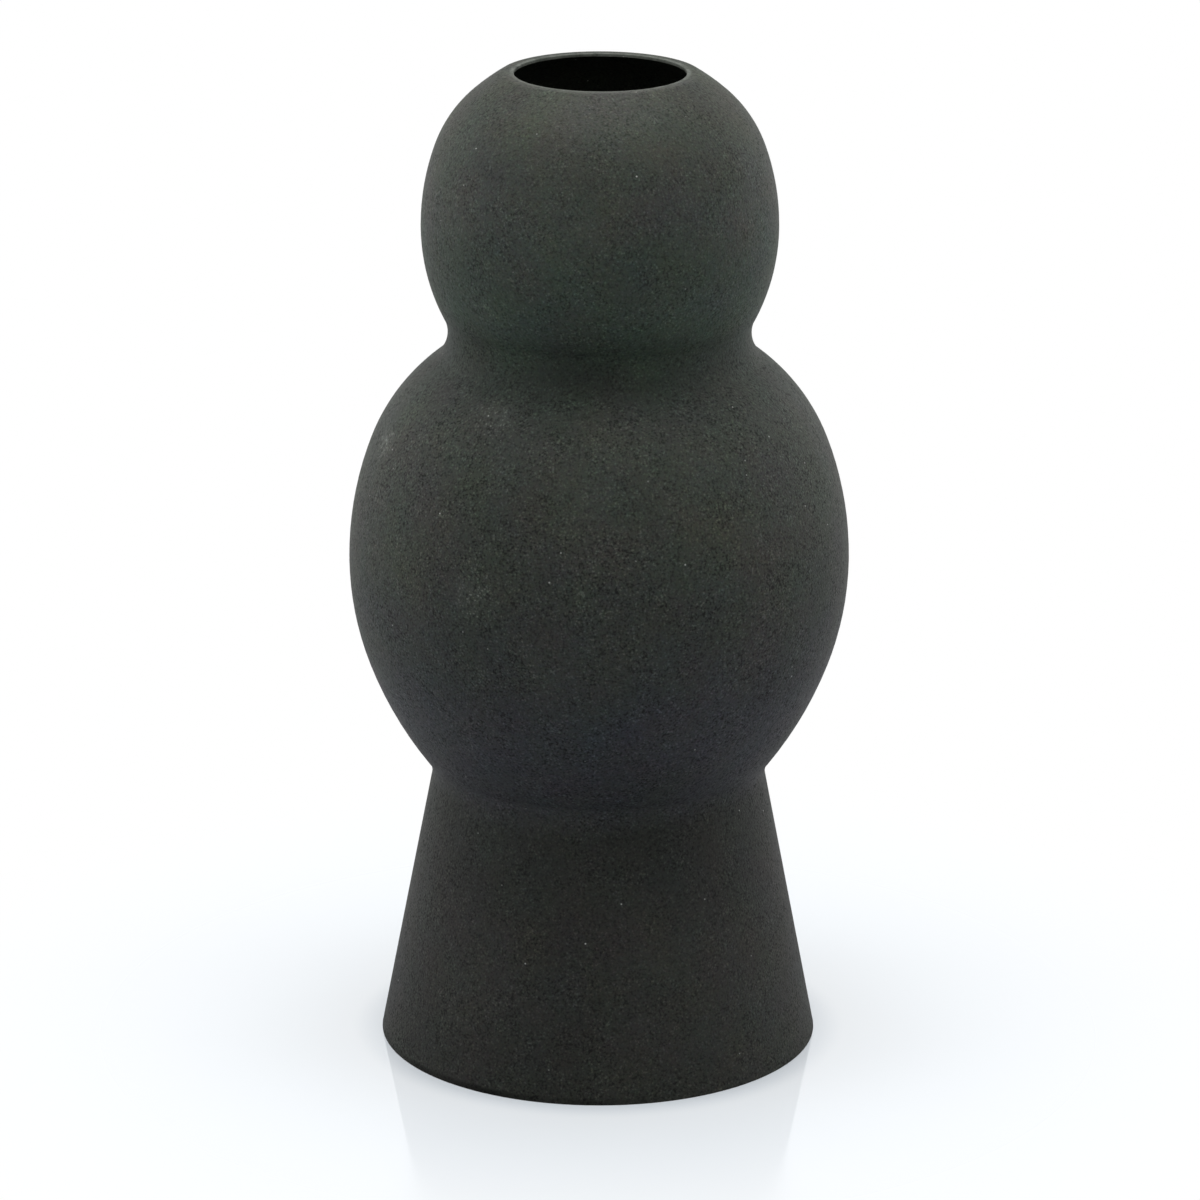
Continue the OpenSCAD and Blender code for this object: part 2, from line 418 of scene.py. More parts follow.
class CoatDriftAndPaintedShade(EffectGroup):
    """Slow changes from pass to pass of the spray gun in clouds of tone, and painted shade and
    light by height.
    """

    name = "coat_drift_and_painted_shade"
    inputs = {
        "Place": "Vector", "Cloud Size": "Float", "Blotch Size": "Float", "Fleck Size": "Float"}
    outputs = {"Cloud": "Float", "Tint": "Color"}

    CLOUD_DETAIL, HUE_DETAIL = 3.0, 2.0
    CLOUD_START, CLOUD_FULL = 0.3, 0.7
    WANDER = 0.02
    HUE_SPREADS = {"Blotch Size": 0.36, "Fleck Size": 0.38}
    TOP = 0.42
    # Painted shade and light by height, as (height in metres, colour that multiplies the tone):
    # darker on the foot, just under the waist and in the neck crease, paler on the belly and the
    # head's underside, bluish at 0.158 where the table's reflection falls, with some of the coat's
    # own green hue.
    PAINTED_SHADE_TINTS: tuple[tuple[float, Colour], ...] = (
        (0.015, (0.44, 0.47, 0.38)),
        (0.065, (0.47, 0.48, 0.41)),
        (0.112, (0.31, 0.36, 0.28)),
        (0.126, (0.57, 0.60, 0.61)),
        (0.158, (0.69, 0.73, 0.80)),
        (0.190, (0.65, 0.74, 0.66)),
        (0.235, (0.68, 0.76, 0.61)),
        (0.280, (0.61, 0.72, 0.56)),
        (0.306, (0.35, 0.49, 0.35)),
        (0.330, (0.68, 0.98, 0.71)),
        (0.370, (0.80, 0.93, 0.77)),
        (0.408, (0.58, 0.66, 0.49)),
    )

    def fill(self, sheet: Sheet, given: Sockets) -> Sockets:
        """Builds the clouds, and the hues with the painted shade and light by height.

        Args:
            sheet: The tree to fill.
            given: Place, and the sizes in metres of the clouds of tone and of the blotches and
                flecks of hue.

        Returns:
            Cloud from 0 to 1, and the hues with the painted shade and light by height, as a colour
            to multiply by.
        """
        place = given["Place"]
        per_cloud = sheet.math("DIVIDE", 1.0, given["Cloud Size"])
        wide = sheet.noise(place, per_cloud, self.CLOUD_DETAIL).outputs["Fac"]
        z = sheet.axes(place)[2]
        wander = sheet.math("MULTIPLY_ADD", wide, self.WANDER, -self.WANDER / 2)
        shade_tint = self.painted_shade_scale(sheet, sheet.math("ADD", z, wander))
        for size, spread in self.HUE_SPREADS.items():
            hues = sheet.noise(place, sheet.math("DIVIDE", 1.0, given[size]), self.HUE_DETAIL)
            rest = 1.0 - spread / 2
            shift = sheet.vector_math(
                "MULTIPLY_ADD", hues.outputs["Color"], (spread,) * 3, (rest,) * 3)
            shade_tint = sheet.vector_math("MULTIPLY", shade_tint, shift.outputs["Vector"]).outputs["Vector"]
        return {"Cloud": sheet.ramp(wide, self.CLOUD_START, self.CLOUD_FULL), "Tint": shade_tint}

    def painted_shade_scale(self, sheet: Sheet, z: bpy.types.NodeSocket) -> bpy.types.NodeSocket:
        """Builds the scale of painted shade and light by height.

        Args:
            sheet: The tree to fill.
            z: The height at which it is read.

        Returns:
            The colour of the painted shade and light at that height.
        """
        scale = sheet.node("ShaderNodeValToRGB")
        sheet.feed(scale.inputs[0], sheet.math("DIVIDE", z, self.TOP))
        stops = scale.color_ramp.elements
        while len(stops) < len(self.PAINTED_SHADE_TINTS):
            stops.new(1.0)
        for stop, (height, shade_tint) in zip(stops, self.PAINTED_SHADE_TINTS):
            stop.position, stop.color = height / self.TOP, rgba(shade_tint)
        return scale.outputs["Color"]


class PaleSpecks(EffectGroup):
    """Rare pale specks of dust that were caught in the coat."""

    name = "pale_specks"
    inputs = {"Place": "Vector", "Spacing": "Float", "Speck Size": "Float", "Rarity": "Float"}
    outputs = {"Speck": "Float"}

    FULL_REACH = 0.5
    PALE_RANGE, FAINTEST = 0.7, 0.3

    def fill(self, sheet: Sheet, given: Sockets) -> Sockets:
        """Builds the specks as the middles of a few cells.

        Args:
            sheet: The tree to fill.
            given: Place, Spacing and Speck Size in metres, and Rarity from 0 to 1.

        Returns:
            Speck, a mask.
        """
        cells = sheet.cells(given["Place"], sheet.math("DIVIDE", 1.0, given["Spacing"]))
        reach = sheet.math("DIVIDE", given["Speck Size"], given["Spacing"])
        full = sheet.math("MULTIPLY", reach, self.FULL_REACH)
        near = sheet.ramp(cells.outputs["Distance"], reach, full)
        lots = sheet.node("ShaderNodeSeparateColor")
        sheet.feed(lots.inputs[0], cells.outputs["Color"])
        chosen = sheet.math("GREATER_THAN", lots.outputs[0], given["Rarity"])
        pale = sheet.math("MULTIPLY_ADD", lots.outputs[1], self.PALE_RANGE, self.FAINTEST)
        return {"Speck": sheet.math("MULTIPLY", sheet.math("MULTIPLY", near, chosen), pale)}


class BrokenMark(EffectGroup):
    """A mark of wear that has gaps in it, wider or narrower by the kind of mark."""

    BREAK_DETAIL, BREAK_ROUGHNESS = 3.0, 0.6
    BREAK_START: float
    BREAK_FULL: float

    def broken(self, sheet: Sheet, place: object, per_metre: object) -> bpy.types.NodeSocket:
        """Builds the gaps.

        Args:
            sheet: The tree to fill.
            place: Where they are read.
            per_metre: How many waves of them there are in a metre.

        Returns:
            A mask that is 0 in the gaps and 1 between them.
        """
        waves = sheet.noise(place, per_metre, self.BREAK_DETAIL, self.BREAK_ROUGHNESS)
        return sheet.ramp(waves.outputs["Fac"], self.BREAK_START, self.BREAK_FULL)


class RubMark(BrokenMark):
    """A small place where handling has rubbed the tops of the grains pale."""

    name = "rub_mark"
    inputs = {
        "Place": "Vector", "Centre": "Vector", "Reach": "Float", "Strength": "Float",
        "Crest": "Float"}
    outputs = {"Rub": "Float"}

    BREAKS_PER_METRE = 420.0
    BREAK_START, BREAK_FULL = 0.38, 0.56
    CREST_RANGE, VALLEY = 0.8, 0.2

    def fill(self, sheet: Sheet, given: Sockets) -> Sockets:
        """Builds the mark as a broken patch round its centre.

        Args:
            sheet: The tree to fill.
            given: Place, Centre and Reach in metres, Strength from 0 to 1, and the grain's Crest.

        Returns:
            Rub, a mask.
        """
        apart = sheet.distance(given["Place"], given["Centre"])
        patch = sheet.ramp(apart, given["Reach"], 0.0)
        broken = self.broken(sheet, given["Place"], self.BREAKS_PER_METRE)
        marked = sheet.math("MULTIPLY", sheet.math("MULTIPLY", patch, broken), given["Strength"])
        tops = sheet.math("MULTIPLY_ADD", given["Crest"], self.CREST_RANGE, self.VALLEY)
        return {"Rub": sheet.math("MULTIPLY", marked, tops)}


class EdgeWearAndPaintedLight(BrokenMark):
    """A thin line along a turned edge, where the coat is thin and handled; it also carries painted
    highlights and painted contact shadows.
    """

    name = "edge_wear_and_painted_light"
    inputs = {
        "Place": "Vector", "Edge Radius": "Float", "Edge Height": "Float", "Reach": "Float",
        "Break Size": "Float", "Middle": "Vector", "Spread": "Float"}
    outputs = {"Wearing And Painted Light": "Float"}

    BREAK_START, BREAK_FULL = 0.25, 0.6
    FULL_REACH, FULL_SPREAD = 0.4, 0.5

    def fill(self, sheet: Sheet, given: Sockets) -> Sockets:
        """Builds the line round the axis, broken by noise.

        Args:
            sheet: The tree to fill.
            given: Place, the edge's Radius, Height, Reach and Break Size in metres, and the
                Middle and Spread of the stretch in which it shows.

        Returns:
            A mask of the line, which shows rubbed coat and painted light.
        """
        place, reach, spread = given["Place"], given["Reach"], given["Spread"]
        x, y, z = sheet.axes(place)
        out = sheet.math("SUBTRACT", sheet.length(x, y), given["Edge Radius"])
        up = sheet.math("SUBTRACT", z, given["Edge Height"])
        full = sheet.math("MULTIPLY", reach, self.FULL_REACH)
        near = sheet.ramp(sheet.length(out, up), reach, full)
        apart = sheet.distance(place, given["Middle"])
        stretch = sheet.ramp(apart, spread, sheet.math("MULTIPLY", spread, self.FULL_SPREAD))
        per_break = sheet.math("DIVIDE", 1.0, given["Break Size"])
        broken = self.broken(sheet, place, per_break)
        return {"Wearing And Painted Light": sheet.math("MULTIPLY", sheet.math("MULTIPLY", near, broken), stretch)}


@dataclass(frozen=True)
class Rub:
    """A small rubbed place.

    Attributes:
        centre: Its middle.
        reach: How far it goes.
        strength: How pale the tops of the grains are in its middle, from 0 to 1.
    """

    centre: Point
    reach: float
    strength: float


@dataclass(frozen=True)
class Edge:
    """A turned edge of the sheet, a circle round the axis, where the coat looks different.

    Attributes:
        radius: The circle's radius.
        height: Its height.
        reach: How far from the edge the difference shows.
        tone: The coat's colour on the edge.
        break_size: How long the stretches are in which it shows and fades.
        middle: The point round which it shows.
        spread: How far from that point it shows.
        shadow_metallic: How far the line turns metallic, from 0 to 1, so that a near-black painted
            shadow darkens its gloss too.
    """

    radius: float
    height: float
    reach: float
    tone: Colour
    break_size: float
    middle: Point
    spread: float
    shadow_metallic: float = 0.0


def mouth_rub_and_highlight() -> Edge:
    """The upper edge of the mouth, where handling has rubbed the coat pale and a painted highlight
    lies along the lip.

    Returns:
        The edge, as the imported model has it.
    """
    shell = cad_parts["head_upper_shell"].data
    top = CAD_HIGH[2]
    return Edge(
        radius=min(math.hypot(v.co.x, v.co.y) for v in shell.vertices),
        height=top,
        reach=2.4 * MM,
        # Pale tone: rubbed coat that is also a painted highlight along the lip.
        tone=(0.110, 0.120, 0.105),
        break_size=7 * MM,
        middle=(0.0, 0.0, top),
        spread=1.0,
    )


def floor_shadow_edge() -> Edge:
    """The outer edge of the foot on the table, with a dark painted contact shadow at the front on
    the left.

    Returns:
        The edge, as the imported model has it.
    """
    low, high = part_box("foot_cone")
    return Edge(
        radius=high[0],
        height=low[2],
        reach=3.6 * MM,
        # Painted contact shadow: a near-black line where the foot meets the table, made metallic as
        # well so that its gloss goes dark.
        tone=(0.0004, 0.0007, 0.0008),
        break_size=60 * MM,
        middle=(-0.062, -0.068, 0.0),
        spread=95 * MM,
        shadow_metallic=1.0,
    )


@dataclass(frozen=True)
class CoatFinish:
    """A textured powder coat on iron.

    Attributes:
        name: The material's name.
        slot: The record's material slot.
        tone: The coat's colour between the grains.
        crest_lift: How much paler the crests are, as a share.
        pit_drop: How much darker the pits are, as a share.
        grain: The grains' size.
        patch: The size of the patches in which the grain grows and fades.
        depth: The relief's depth.
        roughness: How rough the coat is between the pits.
        pit_roughness: How much rougher the pits are.
        specular: The coat's specular level.
        cloud: The size of the clouds of tone.
        cloud_dark: The tone's share where a cloud is darkest.
        cloud_range: How much more of the tone there is where it is palest.
        blotch: The size of the blotches of hue.
        fleck: The size of the flecks of hue.
        speck: The size of a dust speck.
        speck_spacing: The size of a cell that may hold a speck.
        speck_rarity: The share of the cells that hold none.
        speck_tone: The colour of the dust specks.
        rub_tone: The colour that rubbing lifts the grains to.
        rubs: The rubbed places.
        edge_valley: How much of an edge's wear and painted light shows between the crests.
        edges: The edges on which the coat looks different.
    """

    name: str
    slot: str
    tone: Colour
    crest_lift: float = 1.12
    pit_drop: float = 0.55
    grain: float = 1.20 * MM
    patch: float = 14 * MM
    depth: float = 0.16 * MM
    roughness: float = 0.62
    pit_roughness: float = 0.15
    specular: float = 0.24
    cloud: float = 60 * MM
    cloud_dark: float = 0.88
    cloud_range: float = 0.24
    blotch: float = 22 * MM
    fleck: float = 1.6 * MM
    speck: float = 0.46 * MM
    speck_spacing: float = 5 * MM
    speck_rarity: float = 0.89
    speck_tone: Colour = (0.34, 0.35, 0.33)
    rub_tone: Colour = (0.250, 0.268, 0.240)
    rubs: tuple[Rub, ...] = ()
    edge_valley: float = 0.6
    edges: tuple[Edge, ...] = ()

    def material(self) -> bpy.types.Material:
        """Builds the finish's material.

        Returns:
            The material.
        """
        made = bpy.data.materials.new(self.name)
        sheet = Sheet.blank(made)
        place = sheet.node("ShaderNodeTexCoord").outputs["Object"]
        grain = sheet.use(
            SandGrain(), Place=place, Grain_Size=self.grain, Patch_Size=self.patch)
        colour = self.coat_colour(sheet, place, grain)
        for rub in self.rubs:
            mark = sheet.use(
                RubMark(), Place=place, Centre=rub.centre, Reach=rub.reach,
                Strength=rub.strength, Crest=grain.outputs["Crest"])
            colour = sheet.blend(mark.outputs["Rub"], colour, rgba(self.rub_tone))
        # An edge that paints a contact shadow also turns metallic here, so that its gloss goes
        # dark.
        shadow_metal: object = 0.0
        for edge in self.edges:
            marked = sheet.use(
                EdgeWearAndPaintedLight(), Place=place, Edge_Radius=edge.radius, Edge_Height=edge.height,
                Reach=edge.reach, Break_Size=edge.break_size, Middle=edge.middle,
                Spread=edge.spread)
            tops = sheet.choose(grain.outputs["Crest"], self.edge_valley, 1.0)
            shown = sheet.math("MULTIPLY", marked.outputs["Wearing And Painted Light"], tops)
            colour = sheet.blend(shown, colour, rgba(edge.tone))
            if edge.shadow_metallic:
                shadow_metal = sheet.math("MULTIPLY_ADD", shown, edge.shadow_metallic, shadow_metal)
        rough = sheet.math(
            "MULTIPLY_ADD", grain.outputs["Pit"], self.pit_roughness, self.roughness)
        bump = sheet.node("ShaderNodeBump")
        sheet.feed_named(bump, {"Height": grain.outputs["Height"], "Distance": self.depth})
        shader = sheet.node("ShaderNodeBsdfPrincipled")
        sheet.feed_named(shader, {
            "Base Color": colour, "Roughness": rough, "Metallic": shadow_metal,
            "Normal": bump.outputs["Normal"], "Specular IOR Level": self.specular})
        sheet.end("Material", shader.outputs["BSDF"])
        return made

    def coat_colour(
        self, sheet: Sheet, place: bpy.types.NodeSocket, grain: bpy.types.Node
    ) -> bpy.types.NodeSocket:
        """Builds the coat's colour with its painted shade and light by height, without its wear.

        Args:
            sheet: The material's nodes.
            place: Where the colour is read.
            grain: The grain's node.

        Returns:
            The colour.
        """
        drift_and_shade = sheet.use(
            CoatDriftAndPaintedShade(), Place=place, Cloud_Size=self.cloud, Blotch_Size=self.blotch,
            Fleck_Size=self.fleck)
        specks = sheet.use(
            PaleSpecks(), Place=place, Spacing=self.speck_spacing, Speck_Size=self.speck,
            Rarity=self.speck_rarity)
        # The tone is multiplied by the random hues and by the painted shade and light by height.
        tone = sheet.blend(1.0, rgba(self.tone), drift_and_shade.outputs["Tint"], "MULTIPLY")
        clouded = sheet.math(
            "MULTIPLY_ADD", drift_and_shade.outputs["Cloud"], self.cloud_range, self.cloud_dark)
        pitted = sheet.math("MULTIPLY_ADD", grain.outputs["Pit"], -self.pit_drop, clouded)
        lift = sheet.math("MULTIPLY_ADD", grain.outputs["Crest"], self.crest_lift, pitted)
        scaled = sheet.vector_math("SCALE", tone)
        sheet.feed(scaled.inputs["Scale"], lift)
        return sheet.blend(
            specks.outputs["Speck"], scaled.outputs["Vector"], rgba(self.speck_tone))


class Coat(Enum):
    """The finishes. On the head the coat went on finer, so its grains show less."""

    HEAD = CoatFinish(
        name="head_coat_finish", slot="coat", tone=(0.0455, 0.0455, 0.0455),
        crest_lift=0.85, pit_drop=0.42, depth=0.12 * MM, edges=(mouth_rub_and_highlight(),))
    HEAD_WELD = replace(HEAD, name="head_weld_finish", slot="weld_coat", edges=())
    SHELL = CoatFinish(
        name="shell_coat_finish", slot="coat", tone=(0.0440, 0.0440, 0.0440),
        rubs=(Rub(centre=(-0.0890, -0.0280, 0.2694), reach=11 * MM, strength=1.0),
              Rub(centre=(-0.0525, -0.0911, 0.2215), reach=16 * MM, strength=0.32),
              Rub(centre=(-0.0434, -0.0644, 0.2915), reach=14 * MM, strength=0.40)),
        edges=(floor_shadow_edge(),))
    WELD = replace(SHELL, name="shell_weld_finish", slot="weld_coat", rubs=(), edges=())
    UNDER = CoatFinish(
        name="under_coat_finish", slot="under_coat", tone=(0.0410, 0.0410, 0.0410),
        depth=0.10 * MM)

    def material(self) -> bpy.types.Material:
        """The finish's material, made when it is first asked for."""
        return bpy.data.materials.get(self.value.name) or self.value.material()


@dataclass
class SubAssembly:
    """A stretch of the vase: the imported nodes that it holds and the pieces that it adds.

    Attributes:
        name: What the stretch is called in the log.
        nodes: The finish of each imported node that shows.
    """

    name: str
    nodes: dict[str, Coat]

    def build(self) -> None:
        """Adds the stretch's own pieces, if it has any."""

    def dress(self) -> None:
        """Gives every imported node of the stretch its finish."""
        for node, coat in self.nodes.items():
            self.coat_piece(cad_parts[node], coat)
            log.info("%s: %s dressed in %s", self.name, node, coat.value.slot)

    def keep(self, piece: bpy.types.Object, coat: Coat) -> None:
        """Dresses a new piece, lets it ride on the vase and logs it.

        Args:
            piece: The finished piece.
            coat: Its finish.
        """
        self.coat_piece(piece, coat)
        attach(piece, "root")
        log.info("%s: %s added in %s", self.name, piece.name, coat.value.slot)

    def coat_piece(self, piece: bpy.types.Object, coat: Coat) -> None:
        """Puts a finish on a piece, in place of what it had.

        Args:
            piece: The piece.
            coat: The finish.
        """
        piece.data.materials.clear()
        piece.data.materials.append(coat.material())


@dataclass
class Head(SubAssembly):
    """The rounded head with the flat-rimmed mouth, and the weld in the neck below it."""

    name: str = "head"
    nodes: dict[str, Coat] = field(default_factory=lambda: {
        "head_upper_shell": Coat.HEAD, "head_lower_shell": Coat.HEAD,
        "head_seam_weld": Coat.HEAD_WELD, "neck_weld": Coat.HEAD_WELD})


@dataclass
class Belly(SubAssembly):
    """The larger rounded belly, and the weld at the waist below it."""

    name: str = "belly"
    nodes: dict[str, Coat] = field(default_factory=lambda: {
        "belly_upper_shell": Coat.SHELL, "belly_lower_shell": Coat.SHELL,
        "belly_seam_weld": Coat.WELD, "waist_weld": Coat.WELD})


@dataclass
class Foot(SubAssembly):
    """The rolled cone foot, its base plate and the rippled weld under the plate.

    Attributes:
        bead_rounding: How much of a side each rounded corner of the bead's section takes.
        bead_profile: How round a corner is, where 0.25 is flat and 0.5 is a quarter circle.
        bead_segments: Faces in a corner.
        ripple_count: Ripples round the bead.
        ripple_steps: Steps from one ripple to the next.
        ripple_height: How far a ripple stands up.
        ripple_lag: How far a ripple's ends trail behind its middle, in half ripples.
        ripple_margin: The share of a leg next to the wall and the plate that has no ripples.
        merge_gap: Points closer than this are merged.
        sharp_angle: The angle in degrees from which an edge stays sharp.
    """

    name: str = "foot"
    nodes: dict[str, Coat] = field(default_factory=lambda: {
        "foot_cone": Coat.SHELL, "foot_seam_weld": Coat.WELD, "base_plate": Coat.UNDER})
    bead_rounding: float = 0.96
    bead_profile: float = 0.36
    bead_segments: int = 6
    ripple_count: int = 150
    ripple_steps: int = 6
    ripple_height: float = 0.28 * MM
    ripple_lag: float = 1.6
    ripple_margin: float = 0.03
    merge_gap: float = 0.01 * MM
    sharp_angle: float = 50.0

    def build(self) -> None:
        """Models the bead in the corner under the base plate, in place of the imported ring."""
        low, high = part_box("base_weld")
        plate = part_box("base_plate")[0][2]
        leg = plate - low[2]
        wall = high[0]
        bead = self.bead_section(wall, plate, leg)
        self.spin_ring()
        self.raise_ripples(bead, wall - leg, plate - leg)
        bpy.ops.object.shade_smooth_by_angle(angle=math.radians(self.sharp_angle))
        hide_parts("base_weld")
        self.keep(bead, Coat.WELD)

    def bead_section(self, wall: float, plate: float, leg: float) -> bpy.types.Object:
        """Makes the bead's cross-section: a square in the corner, with rounded corners.

        Known fault: only the free corner was to be rounded. The plane's edges and face stay
        selected, so the bevel takes all four corners, and their arcs cross in the square.

        Args:
            wall: Radius of the cone's inside at the bead's lower toe.
            plate: Height of the plate's underside.
            leg: The bead's leg.

        Returns:
            The piece, whose mesh is the section's outline.
        """
        bpy.ops.object.select_all(action="DESELECT")
        bpy.ops.mesh.primitive_plane_add(
            size=leg, location=(wall - leg / 2, 0.0, plate - leg / 2),
            rotation=(math.radians(90.0), 0.0, 0.0))
        bead = bpy.context.object
        bead.name = "base_weld_bead"
        bpy.ops.object.transform_apply(location=True, rotation=True, scale=True)
        free = min(bead.data.vertices, key=lambda v: v.co.x + v.co.z)
        for vertex in bead.data.vertices:
            vertex.select = vertex.index == free.index
        bpy.ops.object.mode_set(mode="EDIT")
        bpy.ops.mesh.select_mode(type="VERT")
        bpy.ops.mesh.bevel(
            offset=leg * self.bead_rounding, segments=self.bead_segments,
            profile=self.bead_profile, affect="VERTICES")
        bpy.ops.mesh.select_all(action="SELECT")
        bpy.ops.mesh.delete(type="ONLY_FACE")
        bpy.ops.object.mode_set(mode="OBJECT")
        return bead

    def spin_ring(self) -> None:
        """Spins the section once round the axis into a closed ring."""
        bpy.ops.object.mode_set(mode="EDIT")
        bpy.ops.mesh.select_all(action="SELECT")
        bpy.ops.mesh.spin(
            steps=self.ripple_count * self.ripple_steps, angle=math.tau,
            center=(0.0, 0.0, 0.0), axis=(0.0, 0.0, 1.0))
        bpy.ops.mesh.select_all(action="SELECT")
        bpy.ops.mesh.remove_doubles(threshold=self.merge_gap)
        bpy.ops.mesh.normals_make_consistent(inside=False)
        bpy.ops.object.mode_set(mode="OBJECT")

    def raise_ripples(self, bead: bpy.types.Object, inner: float, toe: float) -> None:
        """Pushes the bead's face out and in, in crescents that follow the torch.

        Args:
            bead: The piece.
            inner: Radius of the bead's toe on the plate.
            toe: Height of the bead's toe on the wall.
        """
        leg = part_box("base_plate")[0][2] - toe
        mesh = bead.data
        for step in range(self.ripple_steps):
            for part in (*mesh.edges, *mesh.polygons):
                part.select = False
            for vertex in mesh.vertices:
                vertex.select = self.ripple_step(vertex.co, inner, toe, leg) == step
            push = self.ripple_height * math.cos(math.tau * step / self.ripple_steps) / 2
            bpy.ops.object.mode_set(mode="EDIT")
            bpy.ops.mesh.select_mode(type="VERT")
            bpy.ops.transform.shrink_fatten(value=push)
            bpy.ops.object.mode_set(mode="OBJECT")

    def ripple_step(self, place: Vector, inner: float, toe: float, leg: float) -> int:
        """Which step of its ripple a vertex lies on, or -1 on the bead's hidden sides.

        Args:
            place: The vertex.
            inner: Radius of the bead's toe on the plate.
            toe: Height of the bead's toe on the wall.
            leg: The bead's leg.

        Returns:
            The step.
        """
        out = (math.hypot(place.x, place.y) - inner) / leg
        down = (toe + leg - place.z) / leg
        if out > 1 - self.ripple_margin or down < self.ripple_margin:
            return -1
        lag = self.ripple_lag * (out - down) ** 2
        turn = math.atan2(place.y, place.x) / math.tau * self.ripple_count * self.ripple_steps
        return round(turn + lag * self.ripple_steps / 2) % self.ripple_steps


@dataclass(frozen=True)
class Lamp:
    """A square lamp behind cloth, which fades towards its edges.

    Attributes:
        name: Its name.
        place: Where it is.
        aim: The point that it faces.
        size: Its side.
        watts: Its power.
        fade: The share of its side over which it fades at each edge.
    """

    name: str
    place: Point
    aim: Point
    size: float
    watts: float
    fade: float = 0.35

    def build(self) -> None:
        """Adds the lamp to the scene."""
        lamp = bpy.data.lights.new(self.name, "AREA")
        lamp.size = self.size
        lamp.energy = self.watts
        self.soften(lamp)
        holder = bpy.data.objects.new(self.name, lamp)
        bpy.context.scene.collection.objects.link(holder)
        holder.location = self.place
        view = Vector(self.aim) - Vector(self.place)
        holder.rotation_euler = view.to_track_quat("-Z", "Y").to_euler()

    def soften(self, lamp: bpy.types.AreaLight) -> None:
        """Fades the lamp towards its edges, at the same power.

        Args:
            lamp: The lamp's light.
        """
        sheet = Sheet.blank(lamp)
        across = sheet.axes(sheet.node("ShaderNodeNewGeometry").outputs["Parametric"])[:2]
        strength: object = 1.0 / (1.0 - self.fade) ** 2
        for place in across:
            edge = sheet.math("MINIMUM", place, sheet.math("SUBTRACT", 1.0, place))
            strength = sheet.math("MULTIPLY", strength, sheet.ramp(edge, 0.0, self.fade))
        light = sheet.node("ShaderNodeEmission")
        sheet.feed_named(light, {"Color": rgba(WHITE), "Strength": strength})
        sheet.end("Light", light.outputs["Emission"])


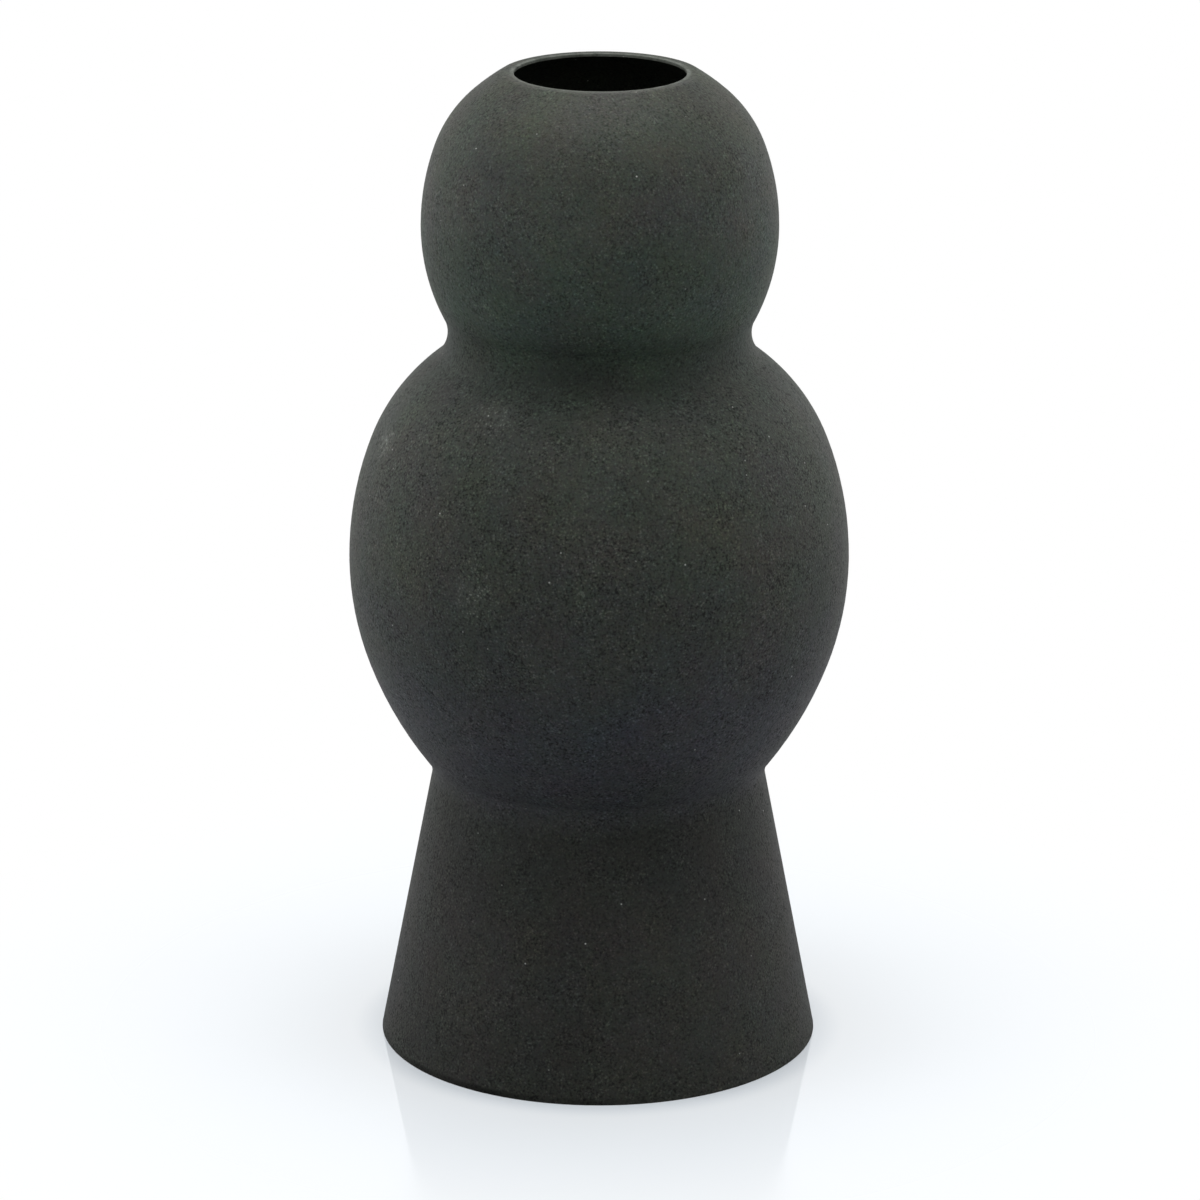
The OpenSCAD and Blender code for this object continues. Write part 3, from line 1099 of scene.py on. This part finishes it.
@dataclass
class Studio:
    """The pale glossy table, the room and the soft lamps.

    Attributes:
        table_half: Half the table's side.
        table_tone: The table's colour.
        table_ior: The index of refraction of its gloss.
        bounce_tone: The colour with which it lights the vase from below.
        glow_tone: The white that shows on the table close to the vase.
        table_glow: How much of that white shows there.
        contact_glow: How much of it shows where the foot stands, in the table's own shade.
        contact_reach: How far out from the foot that shade goes.
        table_sheen: How much of the white the coat's gloss sees on the camera's side.
        sheen_turn: How far behind the vase's axis the gloss sees all of it.
        near_roughness: How rough the table is close to the vase.
        far_roughness: How rough it is where it has faded to white.
        fade_start: Where the table begins to fade to plain white.
        fade_end: Where it is plain white.
        front_fill: The room's light from the camera's side.
        back_fill: The room's light from behind the vase.
        front_sheen: What the coat's gloss sees of the room on the camera's side.
        room_turn: The sine of the angle past the side at which the room's change is done.
        lamps: The lamps.
    """

    table_half: float = 4.0
    table_tone: Colour = (0.84, 0.92, 1.00)
    table_ior: float = 2.4
    bounce_tone: Colour = (0.20, 0.23, 0.28)
    glow_tone: Colour = (0.975, 0.985, 0.990)
    table_glow: float = 0.50
    contact_glow: float = 0.22
    contact_reach: float = 14 * MM
    table_sheen: float = 0.40
    sheen_turn: float = 0.30
    near_roughness: float = 0.03
    far_roughness: float = 0.60
    fade_start: float = 0.12
    fade_end: float = 0.33
    front_fill: float = 0.92
    back_fill: float = 0.13
    front_sheen: float = 0.21
    room_turn: float = 0.3
    lamps: tuple[Lamp, ...] = (
        Lamp("top_lamp", place=(0.0, 0.05, 1.15), aim=(0.0, 0.0, 0.3), size=1.0, watts=6.8),
        Lamp("left_lamp", place=(-1.7, -0.3, 0.9), aim=(0.0, 0.0, 0.2), size=1.7, watts=7.3),
        Lamp("right_lamp", place=(1.7, -0.3, 0.9), aim=(0.0, 0.0, 0.2), size=1.7, watts=5.9),
        Lamp("left_rim_lamp", place=(-1.4, 1.1, 0.8), aim=(0.0, 0.0, 0.2), size=1.7, watts=4.4),
        Lamp("right_rim_lamp", place=(1.4, 1.1, 0.8), aim=(0.0, 0.0, 0.2), size=1.7, watts=5.0),
    )

    def build(self) -> None:
        """Makes the table, the room and the lamps."""
        self.make_table()
        self.make_room()
        for lamp in self.lamps:
            lamp.build()

    def make_table(self) -> None:
        """Makes the table top, white and a little glossy."""
        bpy.ops.mesh.primitive_plane_add(size=2 * self.table_half)
        table = bpy.context.object
        table.name = "table_top"
        table.data.materials.append(self.table_material())

    def table_material(self) -> bpy.types.Material:
        """Builds the table's gloss, which fades to plain white away from the vase.

        Returns:
            The material.
        """
        made = bpy.data.materials.new("table_gloss")
        sheet = Sheet.blank(made)
        place = sheet.node("ShaderNodeTexCoord").outputs["Object"]
        away = sheet.vector_math("LENGTH", place).outputs["Value"]
        far = sheet.ramp(away, self.fade_start, self.fade_end)
        path = sheet.node("ShaderNodeLightPath")
        plain = self.plain_rays(sheet, path)
        behind = sheet.ramp(sheet.axes(place)[1], -self.sheen_turn, self.sheen_turn)
        turned = sheet.choose(behind, self.table_sheen, 1.0)
        sheen = sheet.math("MULTIPLY", path.outputs["Is Glossy Ray"], turned)
        seen = sheet.math("MAXIMUM", plain, sheen)
        gloss = sheet.node("ShaderNodeBsdfPrincipled")
        sheet.feed_named(gloss, {
            "Base Color": sheet.blend(plain, rgba(self.bounce_tone), rgba(self.table_tone)),
            "Roughness": sheet.choose(far, self.near_roughness, self.far_roughness),
            "IOR": self.table_ior})
        white = sheet.node("ShaderNodeEmission")
        glow = sheet.blend(far, rgba(self.glow_tone), rgba(WHITE))
        sheet.feed(white.inputs["Color"], glow)
        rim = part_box("foot_cone")[1][0]
        close = sheet.ramp(away, rim + self.contact_reach, rim)
        lit = sheet.choose(far, sheet.choose(close, self.table_glow, self.contact_glow), 1.0)
        joined = sheet.node("ShaderNodeMixShader")
        sheet.feed(joined.inputs[0], sheet.math("MULTIPLY", lit, seen))
        sheet.feed(joined.inputs[1], gloss.outputs["BSDF"])
        sheet.feed(joined.inputs[2], white.outputs["Emission"])
        sheet.end("Material", joined.outputs["Shader"])
        return made

    def make_room(self) -> None:
        """Makes the world: plain white to the camera, and a light mostly from its side."""
        world = bpy.data.worlds.new("white_room")
        bpy.context.scene.world = world
        world.cycles.sampling_method = "NONE"
        sheet = Sheet.blank(world)
        path = sheet.node("ShaderNodeLightPath")
        way = sheet.axes(sheet.node("ShaderNodeTexCoord").outputs["Generated"])
        behind = sheet.ramp(way[1], -self.room_turn, self.room_turn)
        fill = sheet.choose(behind, self.front_fill, self.back_fill)
        sheen = sheet.choose(behind, self.front_sheen, 1.0)
        level = sheet.choose(path.outputs["Is Glossy Ray"], fill, sheen)
        strength = sheet.choose(self.plain_rays(sheet, path), level, 1.0)
        light = sheet.node("ShaderNodeBackground")
        sheet.feed_named(light, {"Color": rgba(WHITE), "Strength": strength})
        sheet.end("World", light.outputs["Background"])

    def plain_rays(self, sheet: Sheet, path: bpy.types.Node) -> bpy.types.NodeSocket:
        """Finds the rays that see the picture's own white: the camera's, also through glass.

        Args:
            sheet: The nodes to add to.
            path: The Light Path node.

        Returns:
            1 for such a ray, or else 0.
        """
        rays = (path.outputs[f"Is {kind} Ray"] for kind in ("Camera", "Transmission"))
        return sheet.math("MAXIMUM", *rays)


@dataclass
class PhotoCamera:
    """The camera that took the photograph, as fitted to the vase's outline.

    Attributes:
        frame_px: The photograph's side in pixels.
        focal_px: The focal length in pixels.
        centre_px: The column of the photograph's principal point.
        distance: How far in front of the vase's axis it stands.
        height: How high it stands.
        pitch: How far it looks down, in degrees.
        roll: How far it is turned round its view, in degrees.
        nearest: The nearest that it sees.
        farthest: The farthest that it sees.
    """

    frame_px: float = 1200.0
    focal_px: float = 5904.0
    centre_px: float = 599.0
    distance: float = 2.3815
    height: float = 0.950
    pitch: float = 17.65
    roll: float = 0.143
    nearest: float = 0.1
    farthest: float = 30.0

    def build(self) -> None:
        """Makes the camera and sets the scene to use it."""
        eye = bpy.data.cameras.new("photo_camera")
        eye.lens = self.focal_px / self.frame_px * eye.sensor_width
        eye.shift_x = (self.frame_px / 2 - self.centre_px) / self.frame_px
        eye.clip_start, eye.clip_end = self.nearest, self.farthest
        holder = bpy.data.objects.new("photo_camera", eye)
        bpy.context.scene.collection.objects.link(holder)
        stand = Matrix.Translation((0.0, -self.distance, self.height))
        tilt = Matrix.Rotation(math.radians(90.0 - self.pitch), 4, "X")
        turn = Matrix.Rotation(math.radians(self.roll), 4, "Z")
        holder.matrix_world = stand @ tilt @ turn
        bpy.context.scene.camera = holder


def main() -> None:
    """Builds the camera, the vase from the head down, and the studio."""
    logging.basicConfig(level=logging.INFO, format="%(name)s: %(message)s")
    bpy.ops.object.select_all(action="DESELECT")
    bpy.context.scene.view_settings.view_transform = "Standard"
    PhotoCamera().build()
    for part in (Head(), Belly(), Foot()):
        part.build()
        part.dress()
    Studio().build()


if __name__ == "__main__":
    main()
